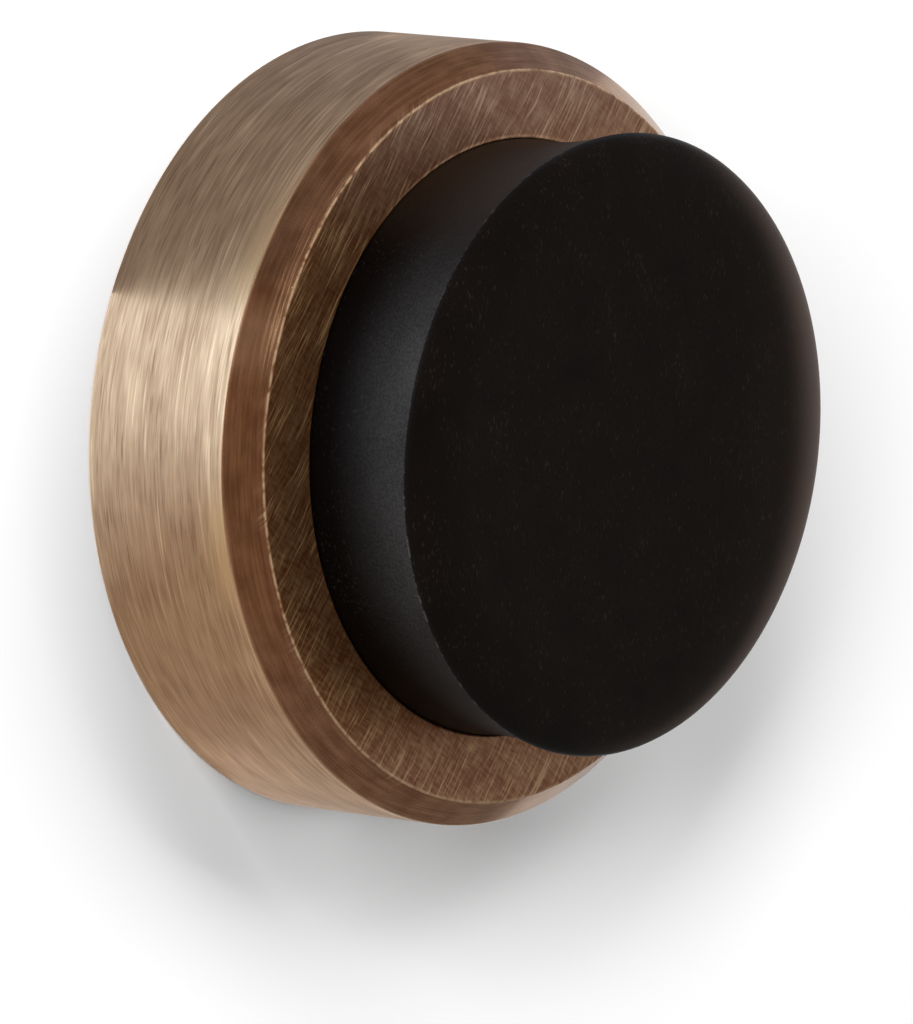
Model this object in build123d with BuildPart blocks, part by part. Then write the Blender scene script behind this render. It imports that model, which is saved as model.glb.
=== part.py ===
"""Round wall protector for a door handle: a turned brass cup, a rubber buffer and a hidden wall screw.

Millimetres, +Z up. The wall is the plane Y = 0, the stop stands out from it along -Y, and the origin
is the middle of the brass back face. Sections are drawn in XY as (radius, y) and turned about Y.
"""

import math
import os

from build123d import *

# Brass body, turned from bar
body_diameter = 45.0
body_depth = 12.0  # wall to the flat front ring
bevel_width = 1.5  # front bevel, measured across the radius
bevel_depth = 1.8  # front bevel, measured along the axis
edge_break = 0.15  # rounding of the turned edges

# Rubber buffer, moulded
buffer_diameter = 34.0  # where it leaves the brass
buffer_reach = 9.4  # front ring to the flat of the face
neck_length = 2.0  # straight stretch between the front ring and the flare
rim_flare = 0.75  # rim beyond the neck, across the radius
rim_roll = 4.0  # width of the rolled edge of the face
rim_drop = 1.6  # face to the widest part of the rim

# Snap seat of the buffer in the body
recess_depth = 6.0
bead_width = 1.6
bead_height = 0.6
bead_setback = 2.4  # recess floor to the middle of the bead
seat_clearance = 0.1

# Countersunk wood screw through the web behind the buffer
screw_length = 40.0
thread_diameter = 4.0  # outside of the thread
thread_length = 24.0  # with the point
thread_runout = 0.5
shank_diameter = 2.9
tip_length = 5.0
head_diameter = 8.0
head_land = 0.2  # straight edge of the head
head_angle = 90.0
head_sink = 0.3  # head below the recess floor
drive_span = 4.4
drive_width = 1.0
drive_depth = 2.0
drive_taper = 6.0  # lean of the cross recess walls, in degrees
head_play = 0.05  # head cone to its countersink, across the radius
hole_clearance = 0.25  # thread to the hole that it passes through, across the radius

# Shared levels along the axis
front_y = -body_depth
floor_y = front_y + recess_depth
face_y = front_y - buffer_reach
rim_y = face_y + rim_drop
bead_y = floor_y - bead_setback

# Shared radii
body_radius = body_diameter / 2
ring_radius = body_radius - bevel_width
buffer_radius = buffer_diameter / 2
rim_radius = buffer_radius + rim_flare
recess_radius = buffer_radius + seat_clearance
thread_radius = thread_diameter / 2
shank_radius = shank_diameter / 2
head_radius = head_diameter / 2
cone_slope = math.tan(math.radians(head_angle / 2))


# Brass body: a cup with a bevelled front edge
groove_half = bead_width / 2 + seat_clearance
with BuildPart() as brass_body:
    with BuildSketch() as cup_section:
        with BuildLine():
            Polyline(
                (0, 0),
                (body_radius, 0),
                (body_radius, front_y + bevel_depth),
                (ring_radius, front_y),
                (recess_radius, front_y),
                (recess_radius, floor_y),
                (0, floor_y),
                close=True,
            )
        make_face()
        levels = cup_section.vertices().group_by(Axis.Y)
        front_corners, bevel_corner, back_corners = levels[0], levels[1], levels[-1]
        fillet(front_corners + bevel_corner + back_corners.sort_by(Axis.X)[-1:], radius=edge_break)
    revolve(axis=Axis.Y)

    # Groove that takes the rubber bead
    with BuildSketch():
        with BuildLine():
            groove_arc = ThreePointArc(
                (recess_radius, bead_y - groove_half),
                (recess_radius + bead_height, bead_y),
                (recess_radius, bead_y + groove_half),
            )
            Line(groove_arc @ 1, groove_arc @ 0)
        make_face()
    revolve(axis=Axis.Y, mode=Mode.SUBTRACT)

    # Countersunk hole for the wall screw
    with Locations(Plane(origin=(0, floor_y, 0), z_dir=(0, -1, 0))):
        CounterSinkHole(
            radius=thread_radius + hole_clearance,
            counter_sink_radius=head_radius + head_play + (head_sink + head_land) * cone_slope,
            depth=body_depth,
            counter_sink_angle=head_angle,
        )
brass_body.part.label = "brass_body"


# Rubber buffer: a spigot with a snap bead, a neck that flares to the rim, and a face with a rolled edge
with BuildPart() as rubber_buffer:
    with BuildSketch():
        with BuildLine():
            Polyline((0, floor_y), (buffer_radius, floor_y), (buffer_radius, bead_y + bead_width / 2))
            bead_arc = ThreePointArc(
                (buffer_radius, bead_y + bead_width / 2),
                (buffer_radius + bead_height, bead_y),
                (buffer_radius, bead_y - bead_width / 2),
            )
            neck = Line(bead_arc @ 1, (buffer_radius, front_y - neck_length))
            TangentArc(neck @ 1, (rim_radius, rim_y), tangent=(0, -1))
            rolled_edge = EllipticalCenterArc(
                (rim_radius - rim_roll, rim_y),
                x_radius=rim_roll,
                y_radius=rim_drop,
                start_angle=270,
                arc_size=90,
            )
            Polyline(rolled_edge @ 0, (0, face_y), (0, floor_y))
        make_face()
    revolve(axis=Axis.Y)
rubber_buffer.part.label = "rubber_buffer"


# Wall screw: countersunk head, plain shank, and the thread as its outer envelope
head_y = floor_y + head_sink
cone_y = head_y + head_land
shank_y = cone_y + (head_radius - shank_radius) / cone_slope
point_y = head_y + screw_length
thread_y = point_y - thread_length
with BuildPart() as wall_screw:
    with BuildSketch():
        with BuildLine():
            Polyline(
                (0, head_y),
                (head_radius, head_y),
                (head_radius, cone_y),
                (shank_radius, shank_y),
                (shank_radius, thread_y),
                (thread_radius, thread_y + thread_runout),
                (thread_radius, point_y - tip_length),
                (0, point_y),
                close=True,
            )
        make_face()
    revolve(axis=Axis.Y)

    # Cross recess for the driver
    with BuildSketch(Plane(origin=(0, head_y, 0), z_dir=(0, -1, 0))):
        Rectangle(drive_span, drive_width)
        Rectangle(drive_width, drive_span)
    extrude(amount=-drive_depth, taper=drive_taper, mode=Mode.SUBTRACT)
wall_screw.part.label = "wall_screw"


os.makedirs("parts", exist_ok=True)
export_step(brass_body.part, "parts/brass_body.step")
export_step(rubber_buffer.part, "parts/rubber_buffer.step")
export_step(wall_screw.part, "parts/wall_screw.step")
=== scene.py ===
# %% [markdown]
# # A wall stop for a door handle
# This lesson dresses a small piece of door furniture: a turned brass cup, screwed to a wall, that holds a
# black rubber buffer where a door handle would otherwise knock the plaster. The solids come in first as a
# fixed frame, in metres, with the wall in the plane Y = 0 and the buffer facing -Y. Everything that
# follows is built round them.

# %% Load the frame
import math

import bmesh
import bpy
from mathutils import Matrix, Vector


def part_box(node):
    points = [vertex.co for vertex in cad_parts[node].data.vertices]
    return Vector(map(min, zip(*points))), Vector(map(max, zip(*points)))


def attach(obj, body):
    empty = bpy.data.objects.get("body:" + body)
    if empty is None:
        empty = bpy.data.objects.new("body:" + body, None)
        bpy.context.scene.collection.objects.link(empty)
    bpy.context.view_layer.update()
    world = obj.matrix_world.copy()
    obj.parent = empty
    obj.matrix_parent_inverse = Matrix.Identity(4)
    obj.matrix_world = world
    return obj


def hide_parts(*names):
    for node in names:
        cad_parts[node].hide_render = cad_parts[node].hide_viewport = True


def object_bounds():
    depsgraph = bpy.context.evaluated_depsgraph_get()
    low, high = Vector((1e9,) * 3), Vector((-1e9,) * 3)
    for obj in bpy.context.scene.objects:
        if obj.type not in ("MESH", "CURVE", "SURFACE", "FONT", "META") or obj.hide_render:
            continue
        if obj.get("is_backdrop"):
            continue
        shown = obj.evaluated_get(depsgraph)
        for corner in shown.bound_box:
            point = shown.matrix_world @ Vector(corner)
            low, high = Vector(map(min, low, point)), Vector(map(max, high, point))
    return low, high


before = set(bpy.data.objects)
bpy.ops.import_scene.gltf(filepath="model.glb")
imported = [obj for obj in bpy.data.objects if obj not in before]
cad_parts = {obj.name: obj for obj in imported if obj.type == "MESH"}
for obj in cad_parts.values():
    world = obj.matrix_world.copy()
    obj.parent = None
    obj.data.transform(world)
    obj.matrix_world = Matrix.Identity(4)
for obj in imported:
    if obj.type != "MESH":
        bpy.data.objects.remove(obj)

cad_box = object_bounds()
print("nodes:", sorted(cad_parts))
print("box in mm:", [[round(1000 * c, 2) for c in corner] for corner in cad_box])

# %% [markdown]
# ## Sizes
# The large sizes are read from the frame, so the dressed pieces always fit the solids. The small ones,
# such as the bevel or the snap groove, are named here. All are in millimetres, because that is how a
# turner thinks of them. Heights are measured out from the wall.

# %% Sizes from the frame, and the small ones
MM = 0.001


def reach(node):
    """Widest radius, then lowest and highest distance out from the wall, of a node in millimetres."""
    low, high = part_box(node)
    return high.x / MM, -high.y / MM, -low.y / MM


body_radius, _, body_height = reach("brass_body")
rim_radius, recess_floor, face_height = reach("rubber_buffer")
head_radius, screw_point, head_height = reach("wall_screw")

bevel_width = 1.5
bevel_height = 1.8
edge_round = 0.15
seat_gap = 0.1
neck_radius = 17.0
neck_length = 2.0
rim_roll = 4.0
rim_drop = 1.6
bead_width = 1.6
bead_rise = 0.6
bead_setback = 2.4

ring_radius = body_radius - bevel_width
bevel_foot = body_height - bevel_height
recess_radius = neck_radius + seat_gap
rim_height = face_height - rim_drop
bead_height = recess_floor + bead_setback
print(f"body {body_radius:.2f} x {body_height:.2f}, rim {rim_radius:.2f}, face {face_height:.2f}")
print(f"screw from {head_height:.2f} to {screw_point:.2f}, head radius {head_radius:.2f}")

# %% [markdown]
# ## A lathe in code
# The brass was turned on a lathe and the rubber came out of a round mould, so each is one outline spun
# about an axis. Blender's Screw modifier could spin a curve, but a short function gives full control of
# where the edge loops lie. The first helper rounds the corners of an outline. The second sets an extra
# point close to each end of a straight stretch: without those guard points, smooth shading would bleed
# from the tiny rounded edges across the whole flat face. The third spins the outline about local Z, then
# lays that axis along -Y, out from the wall. Keeping Z as the axis pays off later, because Blender's
# default tangent runs round local Z, which is the way a turned surface is brushed.

# %% Round and guard an outline
GUARD = 0.06
LONG_STRETCH = 0.5
ROUND_STEP = 9
ROUND_LEAST = 3


def rounded(corners, closed):
    """Points (radius, height, zone) of an outline whose corners are (radius, height, rounding, zone)."""
    count = len(corners)
    points = []
    for index, (radius, height, rounding, zone) in enumerate(corners):
        here = Vector((radius, height))
        if rounding == 0:
            points.append((radius, height, zone))
            continue
        before = (Vector(corners[index - 1][:2]) - here).normalized()
        after = (Vector(corners[(index + 1) % count][:2]) - here).normalized()
        half = before.angle(after) / 2
        centre = here + (before + after).normalized() * rounding / math.sin(half)
        start = here + before * rounding / math.tan(half) - centre
        turn_by = start.angle_signed(here + after * rounding / math.tan(half) - centre)
        steps = max(ROUND_LEAST, round(abs(math.degrees(turn_by)) / ROUND_STEP))
        for step in range(steps + 1):
            spoke = start.copy()
            spoke.rotate(Matrix.Rotation(-turn_by * step / steps, 2))
            points.append((*(centre + spoke), zone))
    return guarded(points, closed)


def guarded(points, closed):
    """The same points, with one more close to each end of every long straight stretch."""
    result = []
    for index, point in enumerate(points):
        result.append(point)
        if index + 1 == len(points) and not closed:
            break
        here, there = Vector(point[:2]), Vector(points[(index + 1) % len(points)][:2])
        along = there - here
        if along.length > LONG_STRETCH:
            step = along.normalized() * GUARD
            result.append((*(here + step), point[2]))
            result.append((*(there - step), point[2]))
    return result


# %% Spin an outline
ON_AXIS = 1e-6


def turned(name, outline, closed, zones, around):
    """A new object: the outline spun about local Z and laid along -Y. Its zones become material indices.
    """
    shell = bmesh.new()
    angles = [2 * math.pi * k / around for k in range(around)]
    spokes = [(math.cos(angle), math.sin(angle)) for angle in angles]
    rings = []
    for radius, height, _ in outline:
        if radius < ON_AXIS:
            rings.append([shell.verts.new((0, 0, height * MM))])
        else:
            rings.append([
                shell.verts.new((radius * x * MM, radius * y * MM, height * MM))
                for x, y in spokes
            ])
    for index in range(len(rings) if closed else len(rings) - 1):
        low, high = rings[index], rings[(index + 1) % len(rings)]
        for k in range(around):
            foot = [low[k % len(low)], low[(k + 1) % len(low)]]
            top = [high[(k + 1) % len(high)], high[k % len(high)]]
            corners = list(dict.fromkeys(foot + top))
            if len(corners) > 2:
                face = shell.faces.new(corners)
                face.material_index = zones.index(outline[index][2])
                face.smooth = True
    bmesh.ops.recalc_face_normals(shell, faces=shell.faces)
    mesh = bpy.data.meshes.new(name)
    shell.to_mesh(mesh)
    shell.free()
    piece = bpy.data.objects.new(name, mesh)
    bpy.context.scene.collection.objects.link(piece)
    piece.rotation_euler.x = math.pi / 2
    bpy.context.view_layer.update()
    print(f"{name}: {len(outline)} points in the outline, {len(mesh.polygons)} faces")
    return piece


# %% A shallow arc for beads and grooves
def bow(radius, middle, half, rise, zone, steps=10):
    """Corners of an arc along the axis, from middle - half to middle + half, that stands rise proud."""
    curve = (half ** 2 + rise ** 2) / (2 * rise)
    reach_angle = math.asin(half / curve)
    corners = []
    for step in range(steps + 1):
        angle = reach_angle * (2 * step / steps - 1)
        out = radius + rise - curve * (1 - math.cos(angle))
        corners.append((out, middle + curve * math.sin(angle), 0, zone))
    return corners


# %% [markdown]
# ## The brass cup
# On the real stop this is one turning: a plain side, a bevel round the front, a flat ring, and a recess
# that hides the screw and grips the rubber. Every edge of a turned part is broken with a touch of emery,
# and those soft edges catch the light, so they are modelled as true rounds instead of being left to a
# bevel shader. Each stretch of the outline names its zone, because the side, the bevel and the ring are
# finished in different ways.

# %% Turn the brass cup
BRASS_ZONES = ["side", "bevel", "ring", "inside", "back"]
hole_radius = 2.25
hole_round = 0.1
sink_radius = 4.55
sink_round = 0.05
floor_round = 0.1
groove = bow(recess_radius, bead_height, bead_width / 2 + seat_gap, bead_rise, "inside")

cup_corners = [
    (hole_radius, 0, hole_round, "back"),
    (body_radius, 0, edge_round, "side"),
    (body_radius, bevel_foot, edge_round, "bevel"),
    (ring_radius, body_height, edge_round, "ring"),
    (recess_radius, body_height, edge_round, "ring"),
    (recess_radius, body_height - 2 * edge_round, 0, "inside"),
    *reversed(groove),
    (recess_radius, recess_floor, floor_round, "inside"),
    (sink_radius, recess_floor, sink_round, "inside"),
    (hole_radius, recess_floor - (sink_radius - hole_radius), sink_round, "inside"),
]
brass_cup = turned("brass_cup", rounded(cup_corners, True), True, BRASS_ZONES, around=360)
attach(brass_cup, "root")
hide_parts("brass_body")

# %% [markdown]
# ## The rubber buffer
# The buffer was moulded: a spigot with a snap bead that sits in the brass, a neck that flares to its
# widest line, and a flat face whose edge rolls over. Where the neck leaves its seat it is squeezed, so it
# swells a little and closes the gap to the brass. The two halves of the mould meet at the widest line and
# leave a hair of flash there, which is modelled as a tiny ridge. The flare is an arc that starts
# straight, and the rolled edge is a quarter of an ellipse. Both come from short formulas, so they stay
# smooth at any size. The edge rolls a little less deep than on the solid, which leaves room for the face
# to lean in the next step.

# %% Turn the rubber buffer
RUBBER_ZONES = ["neck", "face"]
FLARE_STEPS = 24
ROLL_STEPS = 32
FLASH_STEPS = 2  # first steps of the roll, which the flash takes up
FACE_RINGS = (10.0, 6.0, 2.0, 0.0)
SEAT_SWELL = ((-1.4, 0.0), (-0.6, 0.07), (0.1, 0.07), (0.6, 0.03), (1.2, 0.0))  # above the ring, outwards
spigot_round = 0.2
roll_drop = 1.2
flash_rise = 0.02
flash_half = 0.05
flare_height = body_height + neck_length
flare_run = rim_height - flare_height
flare_out = rim_radius - neck_radius
flare_radius = (flare_run ** 2 + flare_out ** 2) / (2 * flare_out)
flare_turn = math.asin(flare_run / flare_radius)

flare = []
for step in range(FLARE_STEPS + 1):
    angle = flare_turn * step / FLARE_STEPS
    out = neck_radius + flare_radius * (1 - math.cos(angle))
    flare.append((out, flare_height + flare_radius * math.sin(angle), 0, "neck"))
roll = []
for step in range(FLASH_STEPS, ROLL_STEPS + 1):
    angle = math.pi / 2 * step / ROLL_STEPS
    out = rim_radius - rim_roll * (1 - math.cos(angle))
    roll.append((out, rim_height + roll_drop * math.sin(angle), 0, "face"))

buffer_corners = [
    (0, recess_floor, 0, "neck"),
    (neck_radius, recess_floor, spigot_round, "neck"),
    *bow(neck_radius, bead_height, bead_width / 2, bead_rise, "neck"),
    *[(neck_radius + out, body_height + up, 0, "neck") for up, out in SEAT_SWELL],
    *flare,
    (rim_radius + flash_rise, rim_height + flash_half, 0, "face"),
    *roll,
    *[(radius, rim_height + roll_drop, 0, "face") for radius in FACE_RINGS],
]
rubber_stop = turned("rubber_stop", rounded(buffer_corners, False), False, RUBBER_ZONES, around=360)

# %% [markdown]
# A soft buffer that has been pushed into its seat by hand never stands quite square. Its face leans by a
# degree or so, and the neck takes up the difference. The lean grows smoothly from nothing at the brass to
# its full amount at the rim, so the spigot stays in its seat.

# %% Lean the buffer in its seat
lean_right = 0.018
lean_up = 0.022
shift_right = 0.03
shift_up = 0.17

for vertex in rubber_stop.data.vertices:
    share = max(0.0, min(1.0, (vertex.co.z / MM - body_height) / (rim_height - body_height)))
    share = share * share * (3 - 2 * share)
    vertex.co.z += share * (lean_right * vertex.co.x + lean_up * vertex.co.y)
    vertex.co.x += share * shift_right * MM
    vertex.co.y += share * shift_up * MM
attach(rubber_stop, "root")
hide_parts("rubber_buffer")
print(f"the face leans {math.degrees(math.hypot(lean_right, lean_up)):.1f} degrees")

# %% [markdown]
# ## The wall screw
# A countersunk wood screw holds the cup. Its head is covered by the rubber, so only the part that goes
# into the wall can be seen, and only from behind. The core is turned like the other pieces. The thread is
# a ridge wound round it: four corners carried along a helix that grows out of the core and dies away at
# the point. One Boolean joins the ridge to the core and two cut the cross recess, so the screw ends as one
# clean skin.

# %% Turn the screw's core
THREAD_STEPS = 64
shank_radius = 1.45
core_radius = 1.25
thread_radius = 2.0
thread_pitch = 1.8
thread_length = 24.0
point_length = 5.0
head_land = 0.2
screw_round = 0.05
shank_fillet = 0.3
core_step = 0.3
point_fillet = 0.5
thread_start = screw_point + thread_length

screw_corners = [
    (0, head_height, 0, "steel"),
    (head_radius, head_height, screw_round, "steel"),
    (head_radius, head_height - head_land, screw_round, "steel"),
    (shank_radius, head_height - head_land - (head_radius - shank_radius), shank_fillet, "steel"),
    (shank_radius, thread_start, screw_round, "steel"),
    (core_radius, thread_start - core_step, screw_round, "steel"),
    (core_radius, screw_point + point_length, point_fillet, "steel"),
    (0, screw_point, 0, "steel"),
]
screw_outline = rounded(screw_corners, False)
screw = turned("countersunk_screw", screw_outline, False, ["steel"], around=THREAD_STEPS)

# %% Wind the thread
ridge_foot = 0.42
ridge_crest = 0.06
ridge_root = 0.85
ridge_inset = 0.5
ridge_short = 1.6
ridge_birth = 0.1
ridge_fade = 2.0


def closed_tube(name, rows):
    """An object whose skin runs through rows of corners, closed at both ends."""
    skin = bmesh.new()
    rings = [[skin.verts.new(Vector(corner) * MM) for corner in row] for row in rows]
    for ring, following in zip(rings, rings[1:]):
        count = len(ring)
        for k in range(count):
            skin.faces.new((ring[k], ring[(k + 1) % count], following[(k + 1) % count], following[k]))
    skin.faces.new(rings[0])
    skin.faces.new(rings[-1])
    bmesh.ops.recalc_face_normals(skin, faces=skin.faces)
    mesh = bpy.data.meshes.new(name)
    skin.to_mesh(mesh)
    skin.free()
    tube = bpy.data.objects.new(name, mesh)
    tube.rotation_euler.x = math.pi / 2
    bpy.context.scene.collection.objects.link(tube)
    return tube


thread_rows = []
for step in range(round((thread_length - ridge_short) / thread_pitch * THREAD_STEPS) + 1):
    angle = 2 * math.pi * step / THREAD_STEPS
    height = thread_start - ridge_inset - thread_pitch * step / THREAD_STEPS
    core = core_radius * min(1.0, (height - screw_point) / point_length)
    growth = min(1.0, ridge_birth + step / THREAD_STEPS, (height - screw_point) / ridge_fade)
    crest = core + (thread_radius - core_radius) * growth
    profile = ((core * ridge_root, ridge_foot), (crest, ridge_crest),
               (crest, -ridge_crest), (core * ridge_root, -ridge_foot))
    thread_rows.append([(r * math.cos(angle), r * math.sin(angle), height + rise) for r, rise in profile])
thread_ridge = closed_tube("thread_ridge", thread_rows)
print("rows in the thread:", len(thread_rows))

# %% Join the thread and cut the cross recess
drive_span = 4.4
drive_width = 1.0
drive_depth = 2.0
drive_lean = 0.1
drive_clear = 0.2
SHARP_ANGLE = 35


def carve(piece, tool, operation):
    """Joins a tool to a piece or cuts it away, then takes the tool off the bench."""
    step = piece.modifiers.new(operation, "BOOLEAN")
    step.operation = operation
    step.solver = "EXACT"
    step.object = tool
    shaped = piece.evaluated_get(bpy.context.evaluated_depsgraph_get())
    piece.data = bpy.data.meshes.new_from_object(shaped)
    piece.modifiers.remove(step)
    bpy.data.objects.remove(tool)


def blade(name, length, width):
    """One wing of the driver: a wedge that narrows into the head."""
    rows = []
    top = (head_height + drive_clear, 0.0)
    tip = (head_height - drive_depth, drive_lean * drive_depth)
    for height, lean in (top, tip):
        x, y = length / 2 - lean, width / 2 - lean
        rows.append([(x, y, height), (-x, y, height), (-x, -y, height), (x, -y, height)])
    return closed_tube(name, rows)


carve(screw, thread_ridge, "UNION")
carve(screw, blade("long_blade", drive_span, drive_width), "DIFFERENCE")
carve(screw, blade("cross_blade", drive_width, drive_span), "DIFFERENCE")
screw.data.polygons.foreach_set("use_smooth", [True] * len(screw.data.polygons))
screw.data.set_sharp_from_angle(angle=math.radians(SHARP_ANGLE))
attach(screw, "root")
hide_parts("wall_screw")
print("faces on the screw:", len(screw.data.polygons))

# %% [markdown]
# ## Writing shaders as sums
# A finish is easier to read as a sum than as a drawing of boxes. The first class wraps one output socket,
# and its operators add Math nodes, so `1 - mask` works as written. The second holds a node tree and has
# the one method through which every other node is made: its settings are set first, then its sockets are
# filled with values or linked.

# %% Sockets that add up


class Value:
    """One output socket. Sums with it add Math nodes to its tree."""

    def __init__(self, finish, socket):
        self.finish = finish
        self.socket = socket

    def other(self, output):
        """Another output of the same node."""
        return Value(self.finish, self.socket.node.outputs[output])

    def math(self, operation, *terms):
        return self.finish.node("ShaderNodeMath", {"operation": operation}, dict(enumerate(terms)))

    def __add__(self, other):
        return self.math("ADD", self, other)

    def __radd__(self, other):
        return self.math("ADD", other, self)

    def __sub__(self, other):
        return self.math("SUBTRACT", self, other)

    def __rsub__(self, other):
        return self.math("SUBTRACT", other, self)

    def __mul__(self, other):
        return self.math("MULTIPLY", self, other)

    def __rmul__(self, other):
        return self.math("MULTIPLY", other, self)

    def __truediv__(self, other):
        return self.math("DIVIDE", self, other)

    def __rtruediv__(self, other):
        return self.math("DIVIDE", other, self)

    def __pow__(self, other):
        return self.math("POWER", self, other)

    def __rpow__(self, other):
        return self.math("POWER", other, self)


# %% A tree to hold them
MIX_FACTOR = 0
MIX_FIRST = 6
MIX_SECOND = 7
MIX_RESULT = 2


class Finish:
    """The node tree of a material or a world, and the ways to add to it."""

    def __init__(self, owner):
        owner.use_nodes = True
        self.owner = owner
        self.tree = owner.node_tree
        self.tree.nodes.clear()

    def node(self, kind, settings=None, sockets=None, out=0):
        """Adds a node: settings first, then each socket takes a value or a link. Gives one output."""
        made = self.tree.nodes.new(kind)
        for key, value in (settings or {}).items():
            setattr(made, key, value)
        for key, value in (sockets or {}).items():
            if isinstance(value, Value):
                self.tree.links.new(value.socket, made.inputs[key])
            else:
                made.inputs[key].default_value = value
        return Value(self, made.outputs[out]) if made.outputs else None

    def smooth(self, value, low, high, at_low=0.0, at_high=1.0):
        """Runs from at_low to at_high as value goes from low to high, with soft ends."""
        settings = {"interpolation_type": "SMOOTHSTEP"}
        sockets = {"Value": value, "From Min": low, "From Max": high, "To Min": at_low, "To Max": at_high}
        return self.node("ShaderNodeMapRange", settings, sockets)

    def band(self, value, start, full, fade, end):
        """0 up to start, 1 between full and fade, and 0 again from end on."""
        return self.smooth(value, start, full) * self.smooth(value, fade, end, 1.0, 0.0)

    def blend(self, factor, first, second):
        """A shader between two others."""
        return self.node("ShaderNodeMixShader", None, {0: factor, 1: first, 2: second})

    def mix(self, factor, first, second):
        """A colour between two others."""
        sockets = {MIX_FACTOR: factor, MIX_FIRST: first, MIX_SECOND: second}
        return self.node("ShaderNodeMix", {"data_type": "RGBA"}, sockets, out=MIX_RESULT)

    def noise(self, x, y, z, detail=2.0, roughness=0.5):
        """Noise whose grains are about one unit across."""
        at = self.node("ShaderNodeCombineXYZ", None, {"X": x, "Y": y, "Z": z})
        sockets = {"Vector": at, "Scale": 1.0, "Detail": detail, "Roughness": roughness}
        return self.node("ShaderNodeTexNoise", {"noise_dimensions": "3D"}, sockets)

    def place(self):
        """x, y, height and radius of the point in the piece's own axes, in millimetres."""
        at = self.node("ShaderNodeTexCoord", None, None, out="Object")
        split = self.node("ShaderNodeSeparateXYZ", None, {"Vector": at})
        x, y, height = (split.other(axis) / MM for axis in "XYZ")
        return x, y, height, (x * x + y * y) ** 0.5

    def bump(self, depth, height):
        """A normal that follows a height of 0 to 1, which is depth millimetres in all."""
        sockets = {"Strength": 1.0, "Distance": depth * MM, "Height": height}
        return self.node("ShaderNodeBump", None, sockets)

    def surface(self, sockets):
        """Ends the tree in a Principled shader with these sockets, and gives the material."""
        shader = self.node("ShaderNodeBsdfPrincipled", None, sockets)
        self.node("ShaderNodeOutputMaterial", None, {"Surface": shader})
        print(f"{self.owner.name}: {len(self.tree.nodes)} nodes")
        return self.owner


def new_finish(name):
    return Finish(bpy.data.materials.new(name))


# %% [markdown]
# ## Antique brass
# Antique brass starts as bright metal. A bath darkens it to brown, a brush then takes the brown off the
# high spots, and a thin lacquer keeps the result. So three things go into each brass finish: a saturated
# brown, light metal in the scratches and along the edges, and a thin clear coat, whose gloss grows as a
# surface turns away. Where metal is rubbed bare it is rough and scatters light, so on the ring and the
# bevel `Metallic` drops a little there, and the scratches show even where they mirror something dark.

# %% Bare metal along the edges
BARE_BRASS = (0.85, 0.58, 0.345, 1)
BARED = 0.8
PATCH = 0.6
FRONT_EDGE = (ring_radius, body_height)
SIDE_EDGE = (body_radius, bevel_foot)
SEAT_EDGE = (recess_radius, body_height)
BACK_EDGE = (body_radius, 0.0)


def near_edge(finish, place, edge, width):
    """1 on a turned edge, falling to 0 at width millimetres from it."""
    _, _, height, radius = place
    across = radius - edge[0]
    along = height - edge[1]
    return finish.smooth((across * across + along * along) ** 0.5, 0.0, width, 1.0, 0.0)


def patches(finish, place):
    """Wear comes in patches: 1 in most of them, and 0 between."""
    x, y, height, _ = place
    return finish.smooth(finish.noise(x / PATCH, y / PATCH, height / PATCH, 2.0), 0.30, 0.60)


def bared(finish, worn, colour):
    """The colour, with bare metal where it is worn."""
    return finish.mix(worn * BARED, colour, BARE_BRASS)


# %% [markdown]
# The side was held against a brush while it turned, so its hairlines run round it. Noise that is
# stretched along the turn gives them: long strands from the brush, fine hairs between them, pale hairs
# that gather in some places, and short dark dashes in the others. Close to the bevel the brush dug in,
# which left stripes. Two stretches of gold along that edge are painted highlight. The same grain feeds
# colour, roughness and bump. `Anisotropic` then smears the reflections across the hairlines, which is
# what makes metal look brushed.

# %% Brushed side
SIDE_BROWN = (0.36, 0.178, 0.082, 1)
SIDE_PALE = (0.94, 0.610, 0.355, 1)
SIDE_HIGHLIGHT_GOLD = (1.0, 0.645, 0.33, 1)


def hairs(finish, place, length, width, seed, detail=0.0, roughness=0.6):
    """Noise stretched along the turn: its grains are about this long and wide, in millimetres."""
    x, y, height, radius = place
    turn = body_radius / length
    return finish.noise(x / radius * turn, y / radius * turn, height / width + seed, detail, roughness)


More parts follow.
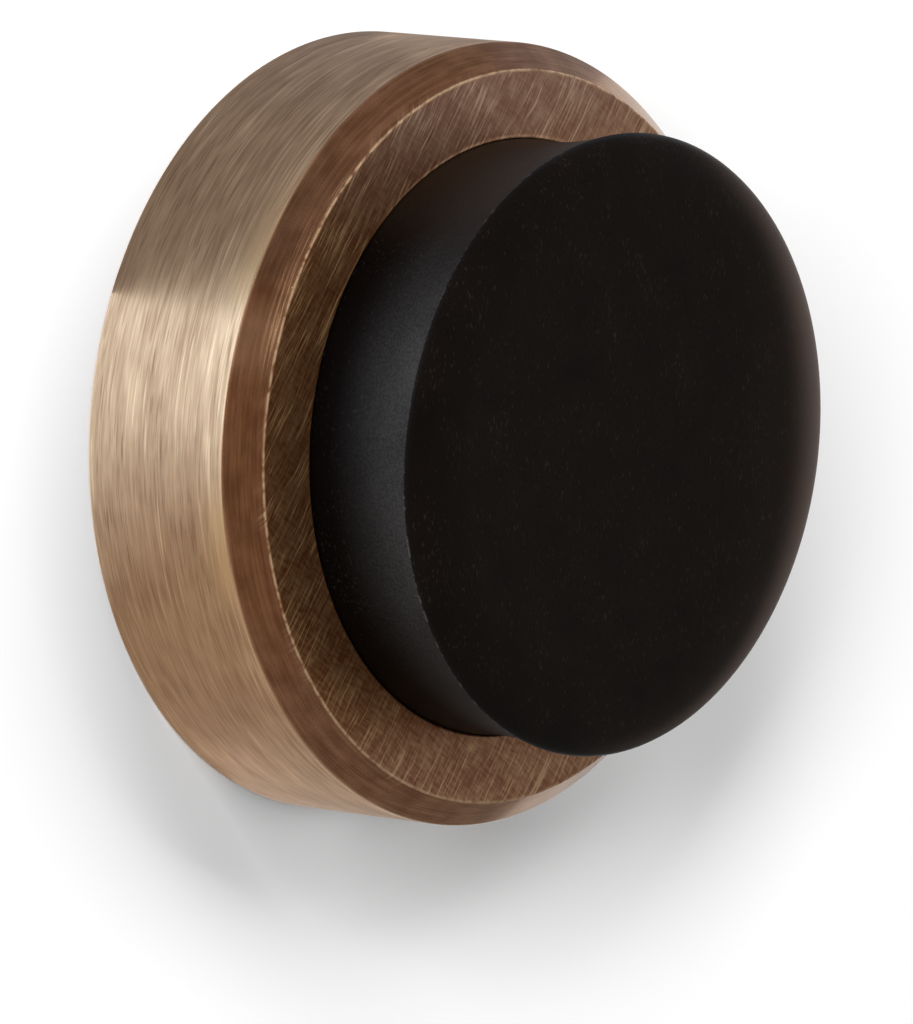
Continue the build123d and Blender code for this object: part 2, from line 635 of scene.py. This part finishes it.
def brushed_side():
    finish = new_finish("brushed brass side")
    place = finish.place()
    x, y, height, _ = place
    cloud = finish.noise(x / 3, y / 3, height / 1.5, 2.0)
    strand = hairs(finish, place, 8.0, 0.34, 0.0, 1.0)
    fine = hairs(finish, place, 2.8, 0.11, 30.0, 2.0)
    gather = finish.smooth(hairs(finish, place, 12.0, 2.5, 50.0), 0.40, 0.60)
    pale = finish.smooth(hairs(finish, place, 5.0, 0.18, 60.0), 0.60, 0.70) * gather
    dash = finish.smooth(hairs(finish, place, 2.2, 0.13, 90.0), 0.58, 0.72) * (1.3 - gather)
    stripe = finish.smooth(hairs(finish, place, 5.0, 0.20, 120.0, 1.0), 0.50, 0.62)
    stripe = stripe * near_edge(finish, place, SIDE_EDGE, 2.6)
    calm = finish.smooth(y, -13.0, -4.0, 0.4, 1.0)
    light = 0.5 + (cloud - 0.5) * 0.5 + (fine - 0.5) * 0.8 + (strand - 0.5) * 0.5 * calm
    light = light + (pale * 0.3 - dash * 0.16) * calm + stripe * 0.35
    # painted highlight: two stretches of gold next to the bevel edge, one low and one high on the side
    painted_gold_highlight = finish.band(y, -9.0, -6.0, -3.0, 0.0) * 0.75 + finish.band(y, 8.0, 11.0, 12.0, 18.0) * 0.9
    painted_gold_highlight = painted_gold_highlight * near_edge(finish, place, SIDE_EDGE, 2.2)
    colour = finish.mix(painted_gold_highlight, finish.mix(light, SIDE_BROWN, SIDE_PALE), SIDE_HIGHLIGHT_GOLD)
    worn = near_edge(finish, place, SIDE_EDGE, 0.4) * 0.5 + near_edge(finish, place, BACK_EDGE, 0.3)
    worn = worn * finish.smooth(strand, 0.35, 0.55)
    return finish.surface({
        "Base Color": bared(finish, worn, colour),
        "Metallic": 1.0,
        "Roughness": 0.58 - light * 0.08,
        "Anisotropic": 0.8,
        "Anisotropic Rotation": 0.25,
        "Coat Weight": 0.12,
        "Coat Roughness": 0.3,
        "Normal": finish.bump(0.003, fine + pale * 0.3 - dash * 0.3),
    })


# %% [markdown]
# The ring was drawn once over emery paper, so its scratches are straight and all lie one way, and they
# cross the ring from edge to edge. A few run the other way where it was wiped back. Low down and next to
# the rubber the paper touched it less, so the scratches fade out there, which also paints in shade beside
# the rubber. Towards the top and the bottom the brown is pinker and paler, which is painted light for the
# brighter things the ring mirrors there, and at the top the edge of the seat is lighter and less metallic.
# One helper gives straight lines for any lay. Their ends spill over the front edge, so the bevel uses the
# same lines close to that edge.

# %% Straight scratches
SCRATCH_LAY = 53
WIPE_LAY = -36
WANDER = 0.4


def scratches(finish, x, y, lay, length, width, seed, detail=0.0):
    """Noise stretched into nearly straight lines that lie at lay degrees to the right of level."""
    lay = math.radians(lay)
    along = x * math.cos(lay) + y * math.sin(lay)
    across = y * math.cos(lay) - x * math.sin(lay)
    wander = finish.noise(x / 2.5, y / 2.5, seed, 1.0) * WANDER
    return finish.noise(along / length, (across + wander) / width, seed, detail, 0.6)


def emery(finish, x, y):
    """How bare the emery left the metal: a few clear lines, and shorter ones at a slant to them."""
    bold = finish.smooth(scratches(finish, x, y, SCRATCH_LAY, 6.0, 0.17, 3.0), 0.60, 0.69)
    second = finish.smooth(scratches(finish, x, y, SCRATCH_LAY + 4, 3.5, 0.15, 11.0), 0.58, 0.70)
    third = finish.smooth(scratches(finish, x, y, SCRATCH_LAY - 5, 2.0, 0.13, 19.0), 0.56, 0.70)
    pressed = finish.smooth(finish.noise(x / 2.2, y / 2.2, 5.0, 1.0), 0.36, 0.58, 0.3, 1.0)
    return (bold * 0.75 + second * 0.4 + third * 0.3) * pressed


# %% Scratched ring
RING_BROWN = (0.36, 0.122, 0.041, 1)
RING_PINK_BROWN = (0.435, 0.212, 0.135, 1)
RING_BARE = (0.85, 0.485, 0.225, 1)
RING_PINK_BARE = (0.84, 0.565, 0.395, 1)


def scratched_ring():
    finish = new_finish("scratched brass ring")
    place = finish.place()
    x, y, _, radius = place
    # painted shade: fewer bright scratches low down next to the rubber, where the paper also touched less
    spared_and_painted_shade = finish.smooth(y, -9.0, -3.0, 0.7, 0.0) * finish.smooth(radius, 17.4, 20.5, 1.0, 0.0)
    cut = emery(finish, x, y) * (1 - spared_and_painted_shade)
    fine = scratches(finish, x, y, SCRATCH_LAY, 1.4, 0.16, 27.0, 2.0)
    wiped = scratches(finish, x, y, WIPE_LAY, 0.9, 0.22, 35.0, 1.0) - 0.5
    wiped = wiped * finish.smooth(x * 0.6 + y, -19.0, -11.0, 1.0, 0.5)
    cloud = finish.noise(x / 2, y / 2, 3.0, 3.0)
    light = 0.22 + cut + wiped * 1.1 + (fine - 0.5) * 1.2 + (cloud - 0.5) * 0.8
    # painted light: a paler, pinker brown towards the top and the bottom of the ring
    pink_painted_light = finish.smooth(y, 10.5, 20.5) + finish.smooth(y, -19.0, -13.0, 0.45, 0.0)
    brown = finish.mix(pink_painted_light, RING_BROWN, RING_PINK_BROWN)
    bare = finish.mix(pink_painted_light, RING_BARE, RING_PINK_BARE)
    seat = near_edge(finish, place, SEAT_EDGE, 0.3) * finish.smooth(y, 12.0, 17.0, 0.0, 0.6)
    worn = (near_edge(finish, place, FRONT_EDGE, 0.16) + seat) * patches(finish, place)
    return finish.surface({
        "Base Color": bared(finish, worn, finish.mix(light, brown, bare)),
        "Metallic": 0.93 - cut * 0.06 - worn * 0.2 - seat * 0.5,
        "Roughness": 0.42,
        "Coat Weight": 0.1,
        "Coat Roughness": 0.3,
        "Normal": finish.bump(0.008, fine * 0.6 + cut * 0.6),
    })


# %% [markdown]
# The bevel was the last cut on the lathe and nobody brushed it. It kept the full brown, with only faint
# marks of the tool, and it is the smoothest of the three, so it mirrors the white wall where it turns
# away at the upper right. Towards the top and the bottom its brown is paler. At the upper left it has a
# short painted highlight, painted shade above that, and a few bright hairs close to the ring. A thin
# light line follows its edge to the side.

# %% Patinated bevel
BEVEL_DARK = (0.260, 0.092, 0.033, 1)
BEVEL_DARK_AWAY = (0.305, 0.122, 0.053, 1)
BEVEL_CLEAR = (0.465, 0.193, 0.084, 1)
BEVEL_CLEAR_AWAY = (0.545, 0.258, 0.136, 1)
BEVEL_PAINTED_GLINT = (0.75, 0.42, 0.24, 1)
BEVEL_SHADE = (0.04, 0.017, 0.004, 1)
BEVEL_TINT = (0.71, 0.67, 0.585, 1)


def patinated_bevel():
    finish = new_finish("patinated brass bevel")
    place = finish.place()
    x, y, height, _ = place
    fine = hairs(finish, place, 4.5, 0.13, 0.0, 2.0)
    cloud = finish.noise(x / 1.8, y / 1.8, height / 1.2, 3.0)
    light = finish.smooth(fine * 0.55 + cloud * 0.45, 0.32, 0.68)
    away = finish.smooth(y * y, 25.0, 190.0)
    dark = finish.mix(away, BEVEL_DARK, BEVEL_DARK_AWAY)
    clear = finish.mix(away, BEVEL_CLEAR, BEVEL_CLEAR_AWAY)
    left = finish.smooth(x, 0.0, 4.0, 1.0, 0.0)
    # painted highlight: a short lighter stretch at the upper left, in line with the lit band on the side
    painted_glint = left * finish.band(y, 4.5, 7.0, 8.0, 10.0)
    colour = finish.mix(painted_glint * 0.3, finish.mix(light, dark, clear), BEVEL_PAINTED_GLINT)
    # painted shade: a darker stretch of the bevel above that
    shade = left * finish.smooth(y, 8.5, 11.5) * finish.smooth(y, 14.0, 20.0, 1.0, 0.4)
    shade = shade * (1 - near_edge(finish, place, FRONT_EDGE, 1.6) * 0.6)
    colour = finish.mix(shade * 0.36, colour, BEVEL_SHADE)
    front = near_edge(finish, place, FRONT_EDGE, 0.17) * patches(finish, place)
    spill = near_edge(finish, place, FRONT_EDGE, 0.7) * emery(finish, x, y)
    spill = spill * finish.smooth(finish.noise(x / 5, y / 5, 9.0, 1.0), 0.45, 0.65)
    upper = finish.band(y, 3.0, 8.0, 14.0, 19.0) * finish.smooth(x, -4.0, 0.0, 1.0, 0.0)
    line = finish.smooth(y, -8.0, 0.0, 0.6, 0.1) + upper * 0.4
    line = line * near_edge(finish, place, SIDE_EDGE, 0.22)
    hair = finish.smooth(hairs(finish, place, 5.625, 0.09, 40.0, 1.0, 0.5), 0.52, 0.64)
    hair = hair * near_edge(finish, place, FRONT_EDGE, 1.5) * upper
    worn = front + spill * 0.5 + line + hair * 0.36
    return finish.surface({
        "Base Color": bared(finish, worn, colour),
        "Metallic": 0.97 - front * 0.25 - spill * 0.1 - line * 0.6 - hair * 0.2,
        "Roughness": 0.24,
        "Specular Tint": BEVEL_TINT,
        "Coat Weight": 0.35,
        "Coat Roughness": 0.1,
        "Normal": finish.bump(0.0008, fine),
    })


# %% [markdown]
# The recess and the back were turned and left as they came off the tool, so rings from the cutting edge
# are all that shows there.

# %% Turned inside and back, and all of it on the cup
TURNED_DARK = (0.36, 0.19, 0.10, 1)
TURNED_PALE = (0.62, 0.39, 0.22, 1)
TOOL_MARK = 0.12


def plain_inside():
    finish = new_finish("plain turned brass")
    x, y, height, radius = finish.place()
    turning = finish.noise(radius / TOOL_MARK, height / TOOL_MARK, 0.0, 2.0)
    stain = finish.noise(x / 6, y / 6, height / 6, 3.0)
    light = finish.smooth(turning * 0.5 + stain * 0.5, 0.3, 0.7)
    return finish.surface({
        "Base Color": finish.mix(light, TURNED_DARK, TURNED_PALE),
        "Metallic": 1.0,
        "Roughness": 0.42 - light * 0.08,
        "Normal": finish.bump(0.004, turning),
    })


turned_brass = plain_inside()
brass_finishes = {
    "side": brushed_side(),
    "bevel": patinated_bevel(),
    "ring": scratched_ring(),
    "inside": turned_brass,
    "back": turned_brass,
}
for zone in BRASS_ZONES:
    brass_cup.data.materials.append(brass_finishes[zone])

# %% [markdown]
# ## Black rubber
# Black rubber has hardly any colour of its own. What gives it form here is a painted sheen: grey painted
# light on the flare of the neck, growing up to the rim and fading towards the upper and lower sides of the
# neck. The root of the neck gets none of it and stays black, and at the top it is a warmer, lighter
# black, painted light that lifts the shade at the seat. The skin from the mould is finely grained and
# carries pale flecks, and crumbs of rubber are left at the seam round the rim. At the right the edge of
# the face carries a dull brown painted sheen, a painted highlight where the rim turns away. The gloss is
# weak and slightly warm.

# %% Rubber
BLACK = (0.0012, 0.0008, 0.0007, 1)
SOOT = (0.0046, 0.0028, 0.0021, 1)
SHEEN_GREY = (0.038, 0.0365, 0.036, 1)
FLECK = (0.011, 0.0095, 0.0088, 1)
CRUMB = (0.06, 0.057, 0.055, 1)
RIM_SHEEN_BROWN = (0.085, 0.060, 0.050, 1)
PAINTED_WARM_BLACK = (0.013, 0.0075, 0.0045, 1)
WARM_GLOSS = (1.0, 0.87, 0.78, 1)
GRAIN = 0.16
GRAIN_DEPTH = 0.012
SEAM_SPREAD = 0.012


def moulded(finish, x, y, height):
    """Fine grain, slow clouds, pale flecks, and crumbs of rubber at the seam of the mould."""
    grain = finish.noise(x / GRAIN, y / GRAIN, height / GRAIN, 2.0, 0.6)
    cloud = finish.noise(x / 3, y / 3, height / 3, 3.0)
    fleck = finish.noise(x / 0.13, y / 0.4, height / 0.13, 1.0) + cloud * 0.3
    fleck = finish.smooth(fleck, 0.77, 0.95)
    from_seam = height - rim_height - lean_right * x - lean_up * y
    seam = finish.smooth(from_seam * from_seam, 0.0, SEAM_SPREAD, 1.0, 0.0)
    seam = seam * finish.smooth(y, -4.0, 4.0, 1.0, 0.3)
    crumb = finish.smooth(finish.noise(x / 0.5, y / 0.5, 0.0, 2.0), 0.50, 0.66) * seam
    return grain, cloud, fleck, crumb


def rubber_neck():
    finish = new_finish("rubber neck with painted sheen")
    x, y, height, _ = finish.place()
    grain, cloud, fleck, crumb = moulded(finish, x, y, height)
    # painted sheen: grey painted light that grows from the root to the rim, strongest at mid height
    painted_sheen = finish.smooth(height, body_height + 1.0, rim_height + 0.5)
    painted_sheen = painted_sheen * finish.smooth(y, 5.0, 15.0, 1.0, 0.2) * finish.smooth(y, -16.0, -5.0, 0.1, 1.0)
    painted_sheen = painted_sheen * (0.45 + cloud * 0.7 + (grain - 0.5) * 1.6)
    # painted light: a warmer, lighter black at the top of the neck, against the shade at the seat
    root = finish.mix(finish.smooth(y, 11.0, 16.5), finish.mix(fleck, BLACK, FLECK), PAINTED_WARM_BLACK)
    return finish.surface({
        "Base Color": finish.mix(crumb, finish.mix(painted_sheen, root, SHEEN_GREY), CRUMB),
        "Roughness": 0.48 + grain * 0.1,
        "Specular IOR Level": 0.1,
        "Specular Tint": WARM_GLOSS,
        "Normal": finish.bump(GRAIN_DEPTH, grain),
    })


def rubber_face():
    finish = new_finish("grained rubber face")
    x, y, height, radius = finish.place()
    grain, cloud, fleck, crumb = moulded(finish, x, y, height)
    colour = finish.mix(fleck, finish.mix(cloud, BLACK, SOOT), FLECK)
    # painted sheen: a dull brown painted highlight along the right edge of the face, widest at the right
    side_on = x / radius
    depth = (rim_radius - radius) / (0.35 + side_on * side_on * 0.65)
    painted_rim_sheen = finish.smooth(depth, 0.2, 5.2, 1.0, 0.0) ** 2.2
    painted_rim_sheen = painted_rim_sheen + finish.smooth(depth, 0.0, 11.0, 1.0, 0.0) * 0.06
    painted_rim_sheen = painted_rim_sheen * finish.smooth(x - y * 0.25, 0.0, 14.0) * finish.smooth(y, 3.0, 13.0, 1.0, 0.65)
    return finish.surface({
        "Base Color": finish.mix(crumb, finish.mix(painted_rim_sheen, colour, RIM_SHEEN_BROWN), CRUMB),
        "Roughness": 0.42 + grain * 0.08,
        "Specular IOR Level": 0.15,
        "Specular Tint": WARM_GLOSS,
        "Normal": finish.bump(GRAIN_DEPTH, grain),
    })


rubber_finishes = {"neck": rubber_neck(), "face": rubber_face()}
for zone in RUBBER_ZONES:
    rubber_stop.data.materials.append(rubber_finishes[zone])

# %% [markdown]
# ## Zinc on the screw
# A screw from the shop is zinc plated and passivated, which leaves it pale with a faint yellow cast. Slow
# noise makes the plating uneven in colour and gloss.

# %% Screw finish
ZINC_DULL = (0.50, 0.46, 0.37, 1)
ZINC_PALE = (0.72, 0.68, 0.59, 1)


def zinc_steel():
    finish = new_finish("zinc plated steel")
    x, y, height, _ = finish.place()
    cloud = finish.noise(x / 1.5, y / 1.5, height / 1.5, 3.0)
    return finish.surface({
        "Base Color": finish.mix(cloud, ZINC_DULL, ZINC_PALE),
        "Metallic": 1.0,
        "Roughness": finish.smooth(cloud, 0.3, 0.7, 0.26, 0.38),
        "Normal": finish.bump(0.002, cloud),
    })


screw.data.materials.clear()
screw.data.materials.append(zinc_steel())

# %% [markdown]
# ## The wall
# The stop is fixed to a white wall, which is a wide flat ring here: it is open behind the cup, and from
# behind it lets everything through, so the back of the stop and its screw can be looked at too. Light
# Path picks out the rays that look at the wall, straight or in a mirror, and a Mix Shader lifts it to
# white for those alone. The shadow of the stop stays on it. Below the cup the brass throws some light
# back onto the wall. Such reflected light is slow to trace, so a mask lifts that patch a little more
# instead.

# %% Wall
PLASTER = (0.9, 0.9, 0.9, 1)
WALL_RINGS = (60.0, 300.0, 3000.0)
WALL_OVERLAP = 0.4
WALL_SET_BACK = -0.05
WALL_LIFT = 0.052
CUP_BOUNCE = 0.30
BOUNCE_REACH = 7.5

wall_radii = (body_radius - WALL_OVERLAP, *WALL_RINGS)
wall_outline = [(radius, WALL_SET_BACK, "wall") for radius in wall_radii]
wall = turned("white_wall", wall_outline, False, ["wall"], around=96)
if wall.data.polygons[0].normal.z < 0:
    wall.data.flip_normals()
wall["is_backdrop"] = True


def looked_at(finish):
    """1 for a ray from the camera, from a mirror or through glass, and 0 for light on its way."""
    path = finish.node("ShaderNodeLightPath")
    return path.other("Is Camera Ray") + path.other("Is Glossy Ray") + path.other("Is Transmission Ray")


def white_wall():
    finish = new_finish("white wall")
    x, y, _, radius = finish.place()
    under = finish.smooth(radius, body_radius, body_radius + BOUNCE_REACH, 1.0, 0.0)
    under = under * finish.smooth(y, -18.0, -8.0, 1.0, 0.0) * finish.band(x, -11.0, 0.0, 7.0, 19.0)
    plaster = finish.node("ShaderNodeBsdfDiffuse", None, {"Color": PLASTER})
    faint = finish.node("ShaderNodeEmission", None, {"Strength": WALL_LIFT})
    strong = finish.node("ShaderNodeEmission", None, {"Strength": WALL_LIFT + CUP_BOUNCE})
    glow = finish.blend(under, faint, strong)
    lifted = finish.node("ShaderNodeAddShader", None, {0: plaster, 1: glow})
    front = finish.blend(looked_at(finish), plaster, lifted)
    clear = finish.node("ShaderNodeBsdfTransparent")
    behind = finish.node("ShaderNodeNewGeometry", None, None, out="Backfacing")
    finish.node("ShaderNodeOutputMaterial", None, {"Surface": finish.blend(behind, front, clear)})
    return finish.owner


wall.data.materials.append(white_wall())

# %% [markdown]
# ## Light
# Two tall soft boxes light the wall, one from the left beside the camera and one from the upper right.
# Between them they give the stop its soft shadow, below it and out to both sides. Metal and rubber would
# show such lamps as bright bars, so they are kept out of reflections. What metal and rubber mirror is
# placed as separate surfaces instead, as a photographer does it. A third box behind the wall is there for
# a look at the back. The world is a pale studio to look at, but hardly adds light of its own.

# %% World
WHITE = (1, 1, 1, 1)
PALE = 0.75
FAINT = 0.02

studio = Finish(bpy.data.worlds.new("studio"))
faint = studio.node("ShaderNodeBackground", None, {"Color": WHITE, "Strength": FAINT})
pale = studio.node("ShaderNodeBackground", None, {"Color": WHITE, "Strength": PALE})
sky = studio.blend(looked_at(studio), faint, pale)
studio.node("ShaderNodeOutputWorld", None, {"Surface": sky})
bpy.context.scene.world = studio.owner
print(f"world: {PALE} to look at, {FAINT} as light")

# %% Soft boxes
STOP = (0, 0, 0)
LAMP_DISTANCE = 3.0


def toward(turn, rise, distance):
    """A point in front of the wall: turn degrees to the right of straight ahead, and rise degrees up."""
    turn, rise = math.radians(turn), math.radians(rise)
    level = math.cos(rise)
    return distance * Vector((math.sin(turn) * level, -math.cos(turn) * level, math.sin(rise)))


def soft_box(name, centre, width, height, brightness, tilt=0.0):
    """A panel of light aimed at the stop. A brightness of 1 is that of white paper in full light."""
    lamp = bpy.data.lights.new(name, "AREA")
    lamp.shape = "RECTANGLE"
    lamp.size = width
    lamp.size_y = height
    lamp.energy = brightness * math.pi * width * height
    holder = bpy.data.objects.new(name, lamp)
    bpy.context.scene.collection.objects.link(holder)
    holder.location = centre
    facing = (Vector(STOP) - Vector(centre)).to_track_quat("-Z", "Y").to_matrix()
    holder.rotation_euler = (facing @ Matrix.Rotation(math.radians(tilt), 3, "Z")).to_euler()
    print(f"{name}: {lamp.energy:.1f} W")
    return holder


left_centre = toward(-52, 23, LAMP_DISTANCE)
right_centre = toward(10, 34.4, LAMP_DISTANCE)
left_box = soft_box("left soft box", left_centre, width=0.51, height=1.79, brightness=32.7, tilt=-30)
right_box = soft_box("right soft box", right_centre, width=0.88, height=3.53, brightness=6.9, tilt=59)
for box in (left_box, right_box):
    box.visible_glossy = False

soft_box("back soft box", (0.5, 0.9, 0.6), width=0.6, height=0.6, brightness=2.0)

# %% [markdown]
# ## What the metal mirrors
# Polished things are lit by what stands round them. A grey tent hangs in front of the stop and a dark
# table lies just below it. The rest are cards on the wall. A grey one covers the wall above the stop, and
# its lower edge gives the abrupt change of tone across the brushed side. The cool one that meets it on
# the left stands for daylight that fades downwards. A pale card just under the cup and a light grey one
# just over it brighten the brass that faces them. All of these are seen by reflections alone, and they go
# dark for a ray that has left a matt surface, so they add nothing to the light on the wall.

# %% Surfaces for reflections


def reflected(name, corners, faces, top, foot=None, between=(0.0, 1.0)):
    """A glowing surface for reflections. Its colour may fade from top to foot between two heights."""
    mesh = bpy.data.meshes.new(name)
    mesh.from_pydata([Vector(corner) * MM for corner in corners], [], faces)
    holder = bpy.data.objects.new(name, mesh)
    bpy.context.scene.collection.objects.link(holder)
    holder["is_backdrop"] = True
    for sight in ("camera", "diffuse", "transmission", "volume_scatter", "shadow"):
        setattr(holder, "visible_" + sight, False)
    finish = new_finish(name)
    at = finish.node("ShaderNodeTexCoord", None, None, out="Object")
    height = finish.node("ShaderNodeSeparateXYZ", None, {"Vector": at}, out="Z") / MM
    low = finish.node("ShaderNodeEmission", None, {"Color": (*(foot or top), 1), "Strength": 1.0})
    high = finish.node("ShaderNodeEmission", None, {"Color": (*top, 1), "Strength": 1.0})
    glow = finish.blend(finish.smooth(height, *between), low, high)
    bounced = finish.node("ShaderNodeLightPath", None, None, out="Diffuse Depth")
    dark = finish.node("ShaderNodeEmission", None, {"Strength": 0.0})
    finish.node("ShaderNodeOutputMaterial", None, {"Surface": finish.blend(bounced, glow, dark)})
    finish.owner.cycles.emission_sampling = "NONE"
    mesh.materials.append(finish.owner)
    print(f"{name}: {len(faces)} faces")


def tent(radius, around=48, rows=16):
    """Corners and faces of half a ball that stands in front of the wall."""
    corners = [toward(-90 + 180 * k / around, -90 + 180 * row / rows, radius)
               for row in range(rows + 1) for k in range(around + 1)]
    width = around + 1
    faces = [(row * width + k, row * width + k + 1, (row + 1) * width + k + 1, (row + 1) * width + k)
             for row in range(rows) for k in range(around)]
    return corners, faces


# %% Tent and table
TENT_GREY = (0.30, 0.30, 0.30)
TABLE_GREY = (0.25, 0.25, 0.25)
QUAD = [(0, 1, 2, 3)]
tent_radius = 900.0
table_height = -40.0
table_plan = ((-30, -1), (800, -1), (800, -800), (-30, -800))

reflected("grey tent", *tent(tent_radius), TENT_GREY)
reflected("dark table", [(x, y, table_height) for x, y in table_plan], QUAD, TABLE_GREY)

# %% Cards on the wall
CARD_GREY = (0.355, 0.415, 0.52)
DAYLIGHT = (1.75, 2.3, 3.0)
DUSK = (0.56, 0.55, 0.54)
PAPER = (0.85, 0.88, 0.92)
PALE_GREY = (0.66, 0.70, 0.75)
card_lift = -0.03
daylight_fade = (-12.0, 11.0)
shared_edge = ((-20.4, 9.0), (-764, 680))  # where the grey card and the cool one meet


def on_wall(plan, lift):
    """Corners, from pairs of right and up, that lie a hair in front of the wall."""
    return [(right, lift, up) for right, up in plan]


grey_card = on_wall((*shared_edge, (727, 520), (18, 13)), card_lift)
cool_card = on_wall((*shared_edge, (-764, -500), (-11, -60)), card_lift)
pale_card = on_wall(((-15, -20), (8, -20), (8, -36), (-15, -36)), 2 * card_lift)
top_card = on_wall(((3, 22), (3, 33), (24, 33), (24, 22)), 2 * card_lift)
reflected("grey card", grey_card, QUAD, CARD_GREY)
reflected("cool card", cool_card, QUAD, DAYLIGHT, DUSK, daylight_fade)
reflected("pale card", pale_card, QUAD, PAPER)
reflected("top card", top_card, QUAD, PALE_GREY)

# %% [markdown]
# ## Camera
# The stop is seen from the left and a little above, through a long lens, so its round edges stay true.

# %% Camera
VIEW_TURN = -48.867
VIEW_RISE = 7.499
VIEW_DISTANCE = 0.675
VIEW_TARGET = Vector((1.35, -6.75, -4.91)) * MM
LENS = 412.4

lens = bpy.data.cameras.new("camera")
lens.lens = LENS
lens.sensor_width = 36.0
lens.clip_start = 0.01
lens.clip_end = 10.0
camera = bpy.data.objects.new("camera", lens)
bpy.context.scene.collection.objects.link(camera)
back_off = toward(VIEW_TURN, VIEW_RISE, VIEW_DISTANCE)
camera.location = VIEW_TARGET + back_off
camera.rotation_euler = (-back_off).to_track_quat("-Z", "Y").to_euler()
bpy.context.scene.camera = camera
bpy.context.scene.view_settings.view_transform = "Standard"
print("camera at", [round(c, 3) for c in camera.location])

# %% [markdown]
# ## Measure
# The dressed pieces have to stay inside the box of the solids, so both boxes are written down.

# %% Measure and finish
dressed_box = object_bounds()
for name, box in (("solids", cad_box), ("dressed", dressed_box)):
    print(name, [[round(c / MM, 3) for c in corner] for corner in box])
